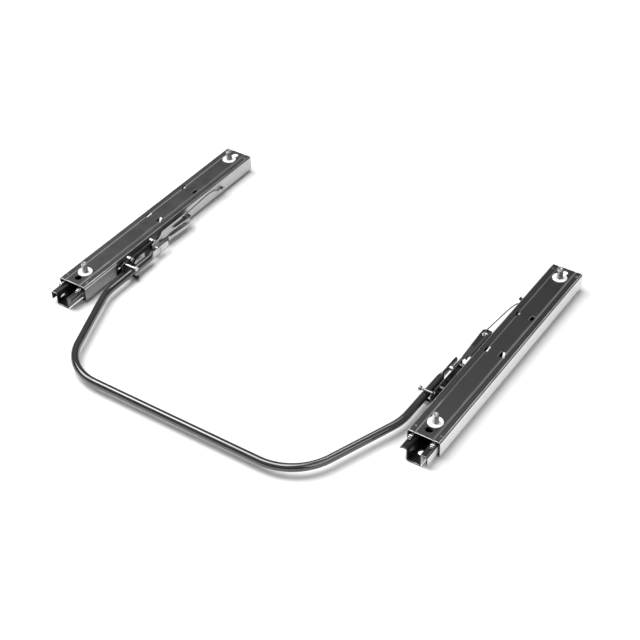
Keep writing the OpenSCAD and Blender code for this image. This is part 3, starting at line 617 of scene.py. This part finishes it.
            # Painted shade: darker on the right rail's pieces, and below the given height
            tone = n.blend(n.ramp(place["X"], *BETWEEN, 0.0, dirt), tone, RIGHT_PIECE_SHADE)
            tone = n.blend(n.ramp(place["Z"], shade_height - 3 * MM, shade_height + 3 * MM), LOW_PIECE_SHADE, tone)
        n.tree.links.new(tone, shader.inputs["Base Color"])
        n.tree.links.new(n.ramp(use.outputs["Grain"], 0.25, 0.75, low, high), shader.inputs["Roughness"])
        shader.inputs["Metallic"].default_value = metallic
        cls.bump(n, shader, use.outputs["Grain"], 0.2, 0.00004)
        cls.made[name] = material
        return material

    @classmethod
    def nylon(cls):
        """Moulded white nylon, a little uneven."""
        if "nylon" in cls.made:
            return cls.made["nylon"]
        material, n, shader = cls.start("white_nylon")
        use = cls.handling(n, 120.0, 1500.0, 0.15)
        colour = settings().colours.nylon
        cloud = n.ramp(use.outputs["Cloud"], 0.3, 0.7)
        tone = n.blend(cloud, shade(colour, 0.94), shade(colour))
        tone = n.blend(use.outputs["Scuff"], tone, NYLON_SCUFF)
        n.tree.links.new(tone, shader.inputs["Base Color"])
        n.tree.links.new(n.ramp(use.outputs["Grain"], 0.2, 0.8, 0.4, 0.55), shader.inputs["Roughness"])
        cls.bump(n, shader, use.outputs["Grain"], 0.15, 0.00005)
        cls.made["nylon"] = material
        return material


# Stage

# Each lamp's direction seen from the part, its distance, its width and its depth in metres
LAMPS = {
    "soft": ((-0.42, -0.10, 0.90), 2.5, 2.6, 1.5),
    "crisp": ((-0.52, -0.16, 0.84), 2.5, 0.45, 0.45),
    "rear": ((-0.18, 0.45, 0.875), 2.5, 0.9, 0.6),
    "fill": ((0.80, -0.30, 0.52), 1.5, 1.0, 1.0),
}
FLOOR_SIZE, FLOOR_GREY, WHITE = 8, (0.82, 0.82, 0.82, 1), (1, 1, 1, 1)
# Half the width and length of the floor under a lower rail that glows white, as painted light that takes away the
# shadow seen through its holes
UNDER_WIDTH, UNDER_LENGTH = 0.0095, 0.184
# Distances from the middle over which the floor is lifted to white, and by how much
FAR_FLOOR, FAR_LIFT = (0.35, 1.0), 0.6
SENSOR = 36


def axes(right, up, back, at):
    """A turn and place from three directions and a point."""
    turn = Matrix((right, up, back)).transposed().to_4x4()
    turn.translation = at
    return turn


def set_camera(s):
    """Places the camera at the photograph's angle."""
    rest()
    bpy.ops.object.camera_add()
    camera = bpy.context.object
    camera.name = "camera"
    back = Vector((math.sin(s.azimuth) * math.cos(s.elevation), -math.cos(s.azimuth) * math.cos(s.elevation),
                   math.sin(s.elevation)))
    level = Vector((math.cos(s.azimuth), math.sin(s.azimuth), 0))
    up = back.cross(level)
    camera.matrix_world = axes(math.cos(s.roll) * level + math.sin(s.roll) * up,
                               math.cos(s.roll) * up - math.sin(s.roll) * level, back,
                               Vector(s.target) + back * s.distance)
    camera.data.lens = s.lens
    camera.data.sensor_width = SENSOR
    bpy.context.scene.camera = camera


def lay_floor(s):
    """Lays the pale floor, which looks white where nothing shades it and far off, and glows white under the lower rails
    as painted light that takes away their shadow seen through the holes.
    """
    rest()
    bpy.ops.mesh.primitive_plane_add(size=FLOOR_SIZE)
    floor = bpy.context.object
    floor.name = "floor"
    material, n, shader = Finishes.start("pale_floor")
    shader.inputs["Base Color"].default_value = FLOOR_GREY
    shader.inputs["Roughness"].default_value = 0.9
    shader.inputs["Specular IOR Level"].default_value = 0.1
    rays = n.add("LightPath")
    seen = n.maths("ADD", rays.outputs["Is Camera Ray"], rays.outputs["Is Glossy Ray"])
    seen = n.maths("ADD", seen, rays.outputs["Is Transmission Ray"], clamp=True)
    place = n.place()
    off_rail = n.maths("ABSOLUTE", n.maths("SUBTRACT", n.maths("ABSOLUTE", place["X"]), RAIL_X))
    # Painted light: the floor under each lower rail glows white and keeps no shadow there
    under = n.maths("MULTIPLY", n.maths("LESS_THAN", off_rail, UNDER_WIDTH),
                    n.maths("LESS_THAN", n.maths("ABSOLUTE", place["Y"]), UNDER_LENGTH))
    far = n.add("VectorMath", {0: n.add("TexCoord").outputs["Object"]}, operation="LENGTH").outputs["Value"]
    lift = n.maths("MAXIMUM", under, n.ramp(far, *FAR_FLOOR, s.floor_lift, FAR_LIFT))
    glow = n.add("Emission", {"Strength": n.maths("MULTIPLY", seen, lift)})
    both = n.add("AddShader", {0: shader.outputs[0], 1: glow.outputs[0]})
    n.tree.links.new(both.outputs[0], material.node_tree.nodes["Material Output"].inputs["Surface"])
    floor.data.materials.append(material)


def light_surround(s):
    """Lights the part softly from all round, brighter overhead, with white behind it."""
    world = bpy.data.worlds.new("surround")
    world.use_nodes = True
    bpy.context.scene.world = world
    n = Nodes(world.node_tree)
    light = world.node_tree.nodes["Background"]
    light.inputs["Color"].default_value = WHITE
    height = n.add("SeparateXYZ", {0: n.add("TexCoord").outputs["Generated"]}).outputs["Z"]
    n.tree.links.new(n.ramp(height, 0, 0.9, s.horizon, s.sky), light.inputs["Strength"])
    rays = n.add("LightPath")
    white = n.add("Background", {"Color": WHITE, "Strength": 1.0})
    mix = n.add("MixShader", {0: rays.outputs["Is Camera Ray"], 1: light.outputs[0], 2: white.outputs[0]})
    n.tree.links.new(mix.outputs[0], world.node_tree.nodes["World Output"].inputs["Surface"])


def hang_lamps(s):
    """Hangs the lamps, each turned to the middle of the part."""
    for name, (aim, away, wide, deep) in LAMPS.items():
        rest()
        bpy.ops.object.light_add(type="AREA")
        lamp = bpy.context.object
        lamp.name = f"{name}_lamp"
        back = Vector(aim).normalized()
        side = Vector((0, 1, 0)).cross(back).normalized()
        lamp.matrix_world = axes(side, back.cross(side), back, back * away)
        lamp.data.energy = getattr(s, f"{name}_power")
        lamp.data.shape = "RECTANGLE"
        lamp.data.size = wide
        lamp.data.size_y = deep


# Operators, one for each piece or group of like pieces

class SLIDE_OT_stage(bpy.types.Operator):
    """Sets the camera, the pale floor and the soft light"""
    bl_idname = "slide_rails.stage"
    bl_label = "Stage"

    def execute(self, context):
        stage = settings().stage
        context.scene.view_settings.view_transform = "Standard"
        set_camera(stage)
        lay_floor(stage)
        light_surround(stage)
        hang_lamps(stage)
        return {"FINISHED"}


class SLIDE_OT_coat(bpy.types.Operator):
    """Coats the rails, brackets, levers and other pressed pieces and breaks their sharp edges"""
    bl_idname = "slide_rails.coat"
    bl_label = "Pressed pieces"

    def execute(self, context):
        finishes = {
            "lower_rail": (Finishes.channel(), 0.35), "upper_rail": (Finishes.coat(), 0.5),
            "handle_bracket": (Finishes.bracket(), 0.3), "latch_lever": (Finishes.lever(), 0.4),
            "leaf_spring": (Finishes.metal("leaf"), 0.15), "lock_pawl": (Finishes.metal("rivet"), 0.25),
            "inner_ball_cage": (Finishes.metal("strip"), 0.15), "outer_ball_cage": (Finishes.metal("strip"), 0.15),
            "balls": (Finishes.metal("ball"), 0),
        }
        for side in SIDES:
            for name, (material, edge) in finishes.items():
                node = frame["nodes"][f"{side}_{name}"]
                node.data.materials.clear()
                node.data.materials.append(material)
                if edge:
                    weld = node.modifiers.new("weld", "WELD")
                    weld.merge_threshold = MERGE
                    flat = node.modifiers.new("flat", "DECIMATE")
                    flat.decimate_type = "DISSOLVE"
                    flat.angle_limit = math.radians(1)
                    bevel = node.modifiers.new("edge", "BEVEL")
                    bevel.width = edge * MM
                    bevel.segments = 2
                    bevel.angle_limit = math.radians(60)
                    bevel.use_clamp_overlap = False
        return {"FINISHED"}


class SLIDE_OT_handle(bpy.types.Operator):
    """Bends the loop handle from round tube and flattens its ends"""
    bl_idname = "slide_rails.handle"
    bl_label = "Loop handle"

    def execute(self, context):
        h = settings().handle
        low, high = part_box("handle_tube")
        centre_z = (low.z + high.z) / 2
        end_y = high.y
        tube_x = high.x - h.tube_d / 2
        splay = math.atan((tube_x - h.corner_x) / (h.leg_y - h.corner_y))
        turn = math.pi / 2 - splay
        corner_trim = h.bend_r * math.tan(turn / 2)
        leg_trim = h.bend_r * math.tan(splay / 2)
        leg = (tube_x - h.corner_x) / math.sin(splay) - corner_trim - leg_trim
        slant = Vector((math.sin(splay), math.cos(splay), 0))

        rest()
        bpy.ops.mesh.primitive_circle_add(vertices=h.rings, radius=h.tube_d / 2, location=(0, h.corner_y, centre_z),
                                          rotation=(0, math.pi / 2, 0))
        tube = context.object
        bpy.ops.object.transform_apply(location=True, rotation=True, scale=True)
        bpy.ops.object.mode_set(mode="EDIT")
        bpy.ops.mesh.select_all(action="SELECT")

        def pull(by):
            bpy.ops.mesh.extrude_region_move(TRANSFORM_OT_translate={"value": by})

        straight = h.corner_x - corner_trim
        for _ in range(6):
            pull((straight / 6, 0, 0))
        centre = Vector((straight, h.corner_y + h.bend_r, centre_z))
        bpy.ops.mesh.spin(steps=20, angle=-turn, center=centre, axis=(0, 0, 1))
        for _ in range(4):
            pull(slant * leg / 4)
        outer = Vector((tube_x - h.bend_r, h.leg_y + leg_trim, centre_z))
        bpy.ops.mesh.spin(steps=6, angle=-splay, center=outer, axis=(0, 0, 1))
        at_y = h.leg_y + leg_trim
        for _ in range(3):
            pull((0, (h.flat_y - at_y) / 3, 0))
        wide, tall = h.tube_d, h.tube_d
        at_y = h.flat_y

        def section(y, new_wide, new_tall):
            """Pulls the end ring to a place along Y and squeezes it to a width and a height."""
            nonlocal wide, tall, at_y
            pull((0, y - at_y, 0))
            bpy.ops.transform.resize(value=(new_wide / wide, 1, new_tall / tall),
                                     center_override=(tube_x, y, centre_z))
            wide, tall, at_y = new_wide, new_tall, y

        for i in range(1, 9):
            t = i / 8
            ease = t * t * (3 - 2 * t)
            section(h.flat_y + h.taper * t, h.tube_d + (h.flat_t - h.tube_d) * ease,
                    h.tube_d + (h.flat_h - h.tube_d) * ease)
        for i in range(1, 7):
            drop = h.nose_r * (1 - math.cos(i * math.pi / 12))
            edge = 0.25 * MM * max(0, i - 4)
            section(end_y - h.nose_r + h.nose_r * math.sin(i * math.pi / 12), h.flat_t - edge * 2, h.flat_h - 2 * drop)
        bpy.ops.mesh.edge_face_add()
        bpy.ops.object.mode_set(mode="OBJECT")
        apply_modifier(tube, "MIRROR", use_axis=(True, False, False), merge_threshold=1e-5)
        tube = heal(joined("handle_fine", [tube]), 40)
        hand_in(tube, Finishes.tube(), "handle", "black_tube", "handle_tube")
        return {"FINISHED"}


class SLIDE_OT_studs(bpy.types.Operator):
    """Cuts the threaded studs with their chamfered, dimpled ends and square heads"""
    bl_idname = "slide_rails.studs"
    bl_label = "Seat studs"

    def execute(self, context):
        s = settings().fixings
        r, pitch, chamfer = s.stud_d / 2 / MM, s.pitch / MM, s.chamfer / MM
        low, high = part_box("left_studs")
        root = r - 0.6 * pitch
        height = (high.z - low.z) / MM
        seat, head_w = 5.0, 12.0
        turns = math.ceil((height - seat) / pitch) + 2
        thread = turned([(root, 0), (root, pitch * 0.14), (r, pitch * 0.44), (r, pitch * 0.58), (root, pitch * 0.88),
                         (root, pitch)], s.facets, rise=s.pitch, turns=turns)
        put(thread, (0, 0, (seat - 1.5 * pitch) * MM))
        bpy.ops.object.mode_set(mode="EDIT")
        for z, outer in ((seat - 0.2 * pitch, False), (height + 0.2 * pitch, True)):
            bpy.ops.mesh.select_all(action="SELECT")
            bpy.ops.mesh.bisect(plane_co=(0, 0, z * MM), plane_no=(0, 0, 1), use_fill=True, clear_inner=not outer,
                                clear_outer=outer)
        heal(thread)
        limit = turned([(0, seat - 1), (r + 0.5, seat - 1), (r + 0.5, seat), (r, seat), (r, height - chamfer),
                        (r - chamfer, height), (r * 0.6, height), (r * 0.34, height - 0.9), (0, height - 1)], s.facets)
        apply_modifier(thread, "BOOLEAN", operation="INTERSECT", object=limit, solver="EXACT")
        bpy.data.objects.remove(limit)
        if not thread.data.polygons:
            raise RuntimeError("the stud's thread came out empty")
        rest()
        bpy.ops.mesh.primitive_cube_add(size=1, location=(0, 0, seat / 2 * MM))
        head = context.object
        head.scale = (head_w * MM, head_w * MM, seat * MM)
        bpy.ops.object.transform_apply(location=True, rotation=True, scale=True)
        apply_modifier(head, "BEVEL", width=0.6 * MM, segments=3)
        stud = heal(joined("stud", [thread, head]))
        for side in SIDES:
            low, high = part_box(f"{side}_studs")
            inset = head_w / 2 * MM
            pair = [put(copied(stud), ((low.x + high.x) / 2, y, high.z - height * MM - drop)) for y, drop in
                    ((low.y + inset, s.stud_drop if side == "right" else 0), (high.y - inset, 0))]
            hand_in(joined(f"{side}_studs_fine", pair), Finishes.metal("stud"), f"{side}_seat_rail", "zinc_steel",
                    f"{side}_studs")
        bpy.data.objects.remove(stud)
        return {"FINISHED"}


class SLIDE_OT_washers(bpy.types.Operator):
    """Turns the moulded white washers"""
    bl_idname = "slide_rails.washers"
    bl_label = "Washers"

    def execute(self, context):
        s = settings().fixings
        r, bore = s.washer_d / 2 / MM, s.stud_d / 2 / MM + 0.1
        low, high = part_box("left_stud_washers")
        t = (high.z - low.z) / MM
        washer = turned([(bore, 0), (r - 0.2, 0), (r, 0.25), (r, t - 0.35), (r - 0.15, t - 0.1), (r - 0.45, t),
                         (bore + 1.6, t), (bore + 1.3, t - 0.12), (bore + 0.3, t - 0.12), (bore, t - 0.35),
                         (bore, 0)], 48)
        for side in SIDES:
            low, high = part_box(f"{side}_stud_washers")
            pair = [put(copied(washer), ((low.x + high.x) / 2, y, low.z)) for y in (low.y + r * MM, high.y - r * MM)]
            hand_in(joined(f"{side}_stud_washers_fine", pair), Finishes.nylon(), f"{side}_seat_rail", "white_nylon",
                    f"{side}_stud_washers")
        bpy.data.objects.remove(washer)
        return {"FINISHED"}


def dome(r, u, rise):
    """Profile of a low rounded head that starts at u, with a small dimple in its middle."""
    return [(r, u), (r, u + 0.25 * rise), (r * 0.93, u + 0.6 * rise), (r * 0.75, u + 0.88 * rise), (r * 0.5, u + rise),
            (r * 0.3, u + 0.97 * rise), (r * 0.2, u + 0.75 * rise), (0, u + 0.7 * rise)]


class SLIDE_OT_rivets(bpy.types.Operator):
    """Turns the rivets and pins with their rounded heads"""
    bl_idname = "slide_rails.rivets"
    bl_label = "Rivets and pins"

    def execute(self, context):
        facets = settings().fixings.facets
        zinc, rivet, pin_zinc = Finishes.metal("zinc"), Finishes.metal("rivet"), Finishes.metal("pin")
        plate = (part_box("left_handle_bracket")[0].x + RAIL_X) / MM
        face = plate + 1.6
        big = [(0, RIVET_IN), (3.6, RIVET_IN), (3.6, WALL_IN), (2.3, WALL_IN), (2.3, WALL_OUT), (3.6, WALL_OUT),
               (3.6, plate), (2.3, plate), (2.3, face)]
        small = [(0, plate - 0.8), (2.1, plate - 0.8), (2.1, plate), (1.3, plate), (1.3, face + 0.8)]
        rivets = [across(big + dome(3.6, face, 1.2), y, 19.45, facets) for y in (-76, -28)]
        rivets.append(across(small + dome(2.1, face + 0.8, 0.8), -57, 13, facets))
        both_sides(joined("bracket_rivets", rivets), "bracket_rivets", rivet, "seat_rail", "zinc_steel")

        pin = [(0, plate - 0.8), (2.55, plate - 0.8), (2.55, plate), (1.75, plate), (1.75, 46.75), (2.7, 46.75),
               (3.1, 47.2), (3.1, 49.2), (2.8, 49.75), (2.1, 50), (0, 50)]
        pins = [across(pin, -89.5, z, facets) for z in (5.7, 20.3)]
        both_sides(joined("fork_pins", pins), "fork_pins", pin_zinc, "seat_rail", "zinc_steel")

        pawl = [(0, 23.15), (2, 23.15), (2, 26.35)]
        heads = [across(pawl + dome(3, 26.35, 1), y, 16, facets) for y in (4, 16)]
        both_sides(joined("pawl_rivets", heads), "pawl_rivets", rivet, "latch", "zinc_steel")

        tip = (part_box("left_lever_pin")[1].x + RAIL_X) / MM
        lever = [(0, RIVET_IN), (4, RIVET_IN), (4, WALL_IN), (2.5, WALL_IN), (2.5, WALL_OUT), (4, WALL_OUT), (4, 24.45),
                 (2.5, 24.45), (2.5, tip - 1)]
        both_sides(across(lever + dome(4.5, tip - 1, 1), 40, 14.5, facets), "lever_pin", zinc, "seat_rail",
                   "zinc_steel")

        low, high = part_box("left_link_rivet")
        first, last = (low.x + RAIL_X) / MM, (high.x + RAIL_X) / MM
        ear = first + 3.2
        link = [(0, first), (3.2, first), (3.5, first + 0.3), (3.5, first + 1), (2, first + 1), (2, ear), (3.5, ear),
                (3.5, 39.5), (2, 39.5), (2, 42.5), (3.5, 42.5), (3.5, 42.8), (3.2, 43.2), (2.6, last),
                (1.8, last - 0.05), (1.25, 43), (1.1, 42.4), (1.1, 39.5), (0, 39.5)]
        both_sides(across(link, -32, 13, facets), "link_rivet", zinc, lambda side: "handle", "zinc_steel")
        return {"FINISHED"}


class SLIDE_OT_springs(bpy.types.Operator):
    """Winds the wire return springs of the latches"""
    bl_idname = "slide_rails.springs"
    bl_label = "Return springs"

    def execute(self, context):
        s = settings().springs
        pivot = PIVOT["left_latch_turn"] / MM
        wire_r, coil_r, pitch = s.wire_d / 2 / MM, s.coil_r / MM, s.coil_pitch / MM
        coil_u, leg_z, hook_y, hook_z = s.coil_u / MM, s.leg_z / MM, s.hook_y / MM, s.hook_z / MM
        py, pz = pivot.y, pivot.z
        turns, bend, steps, short, hook_r = 1.75, 2.5, 28, 16, 2
        end_u = coil_u + turns * pitch
        rise, start_z, hook_end = pz + coil_r, 17.8, 19.5
        path = [(coil_u, py - short + short * i / 4, start_z + (rise - start_z) * i / 4) for i in range(4)]
        for i in range(int(turns * steps) + 1):
            a = 2 * math.pi * i / steps
            path.append((coil_u + pitch * i / steps, py + coil_r * math.sin(a), pz + coil_r * math.cos(a)))
        for i in range(7):
            a = math.pi / 12 * i
            path.append((end_u, py - coil_r + bend * (1 - math.cos(a)), leg_z - bend + bend * math.sin(a)))
        start = path[-1]
        hook = (WALL_OUT + hook_r, hook_y - hook_r, hook_z)
        for i in range(1, 33):
            t = i / 32
            path.append((start[0] + (hook[0] - start[0]) * t, start[1] + (hook[1] - start[1]) * t,
                         leg_z - (leg_z - hook_z) * t ** 7))
        for i in range(1, 7):
            a = math.pi / 12 * i
            path.append((WALL_OUT + hook_r * math.cos(a), hook_y - hook_r + hook_r * math.sin(a), hook_z))
        path.append((hook_end, hook_y, hook_z))
        spring = drawn_line([left(*p) for p in path])
        take(spring)
        bpy.ops.object.convert(target="CURVE")
        spring.data.bevel_depth = wire_r * MM
        spring.data.bevel_resolution = 4
        spring.data.use_fill_caps = True
        bpy.ops.object.convert(target="MESH")
        heal(spring, 50)

        def bends(side):
            """The seat rail and latch of a side, the latch's pivot and a point 12 mm in front of it."""
            centre = PIVOT[f"{side}_latch_turn"]
            return f"{side}_seat_rail", f"{side}_latch", centre, centre - Vector((0, 12 * MM, 0))

        both_sides(spring, "return_spring", Finishes.metal("wire"), bends, "spring_steel")
        return {"FINISHED"}


def folded(line, step, count, thickness, crimp=(0, 0, 0)):
    """A sheet piece: a drawn line pulled sideways in steps, crimped at every other step, and thickened."""
    sheet = drawn_line(line)
    take(sheet)
    bpy.ops.object.mode_set(mode="EDIT")
    bpy.ops.mesh.select_all(action="SELECT")
    for i in range(count):
        by = Vector(step) + Vector(crimp) * (1 if i % 2 else -1)
        bpy.ops.mesh.extrude_region_move(TRANSFORM_OT_translate={"value": by * MM})
    heal(sheet)
    apply_modifier(sheet, "SOLIDIFY", thickness=thickness * MM, offset=0)
    apply_modifier(sheet, "BEVEL", width=0.15 * MM, segments=2)
    return heal(sheet)


class SLIDE_OT_cage_ends(bpy.types.Operator):
    """Folds the crinkled bright ends of the ball cages that show in the front mouths"""
    bl_idname = "slide_rails.cage_ends"
    bl_label = "Cage ends"

    def execute(self, context):
        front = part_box("left_inner_ball_cage")[0].y / MM
        fold = [(10, 21.75), (5.5, 21.8), (3.9, 23.1), (2.5, 23.3), (1.6, 22.3), (2.0, 21.0), (1.0, 20.3), (0.2, 21.4),
                (-0.9, 22.9), (-1.9, 22.6), (-2.2, 21.2), (-3.1, 20.4), (-3.9, 21.3)]
        for name, u in (("inner", 12.4), ("outer", -16.6)):
            end = folded([left(u, front + y, z) for y, z in fold], (1.05, 0, 0), 4, 0.5, (0, 0.45, 0.3))
            both_sides(end, f"{name}_cage_end", Finishes.metal("crinkled"), "cages", "cage_steel", replace=False)
        return {"FINISHED"}


class SLIDE_OT_hole_tabs(bpy.types.Operator):
    """Raises the bare lanced tabs beside the middle holes of the upper rails and the coated ones by the springs"""
    bl_idname = "slide_rails.hole_tabs"
    bl_label = "Hole tabs"

    def execute(self, context):
        for side in SIDES:
            low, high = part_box(f"{side}_stud_washers")
            middle, top = (low.x + high.x) / 2 / MM, low.z / MM

            def spots(points):
                """Points given from the washers' centre line and the rail's top."""
                return [Vector((middle + x, y, top + z)) * MM for x, y, z in points]

            lip = [(-10.9, -1.0), (-10.8, 0.4), (-10.4, 0.9), (-9.8, 0.85), (-9.4, 0.3), (-9.3, -0.6)]
            fins = [folded(spots([(x, y, z) for x, z in lip]), (0, run, 0), 6, 0.5, (0.06, 0, 0.08))
                    for y, run in ((4.5, 1.7), (88.5, 0.6))]
            tab = folded(spots([(11.3, 6.0, -1.0), (11.2, 6.4, 0.3), (10.9, 7.4, 1.6), (10.5, 8.9, 2.9),
                                (10.0, 10.6, 3.9)]), (0.65, 0, 0), 4, 0.9, (0, 0.05, 0.1))
            hand_in(joined(f"{side}_hole_tabs", [*fins, tab]), Finishes.metal("bare"), f"{side}_seat_rail",
                    "cage_steel")
        catch = [(21.9, 15.4), (24.0, 15.5), (26.6, 15.2), (28.6, 15.9), (29.3, 17.6)]
        catch_y = 127.4
        tab = folded([left(u, catch_y, z) for u, z in catch], (0, 1.1, 0), 5, 1.2)
        both_sides(tab, "spring_tab", Finishes.bracket(), "seat_rail", "black_steel", replace=False)
        return {"FINISHED"}


class SLIDE_PT_pieces(bpy.types.Panel):
    """Lists the pieces of the slide rails"""
    bl_idname = "SLIDE_PT_pieces"
    bl_label = "Slide Rails"
    bl_space_type = "VIEW_3D"
    bl_region_type = "UI"
    bl_category = "Slide Rails"

    def draw(self, context):
        for operator in OPERATORS:
            self.layout.operator(operator.bl_idname)


GROUPS = (HandleSizes, FixingSizes, SpringSizes, FinishColours, StageSettings, SlideRailSettings)
OPERATORS = (SLIDE_OT_stage, SLIDE_OT_coat, SLIDE_OT_handle, SLIDE_OT_studs, SLIDE_OT_washers, SLIDE_OT_rivets,
             SLIDE_OT_springs, SLIDE_OT_cage_ends, SLIDE_OT_hole_tabs)
CLASSES = (*GROUPS, *OPERATORS, SLIDE_PT_pieces)


def register():
    for cls in CLASSES:
        bpy.utils.register_class(cls)
    bpy.types.Scene.slide_rails = PointerProperty(type=SlideRailSettings)


def unregister():
    del bpy.types.Scene.slide_rails
    for cls in reversed(CLASSES):
        bpy.utils.unregister_class(cls)


def main():
    register()
    bpy.ops.slide_rails.stage()
    bpy.ops.slide_rails.coat()
    bpy.ops.slide_rails.handle()
    bpy.ops.slide_rails.studs()
    bpy.ops.slide_rails.washers()
    bpy.ops.slide_rails.rivets()
    bpy.ops.slide_rails.springs()
    bpy.ops.slide_rails.cage_ends()
    bpy.ops.slide_rails.hole_tabs()


if __name__ == "__main__":
    main()
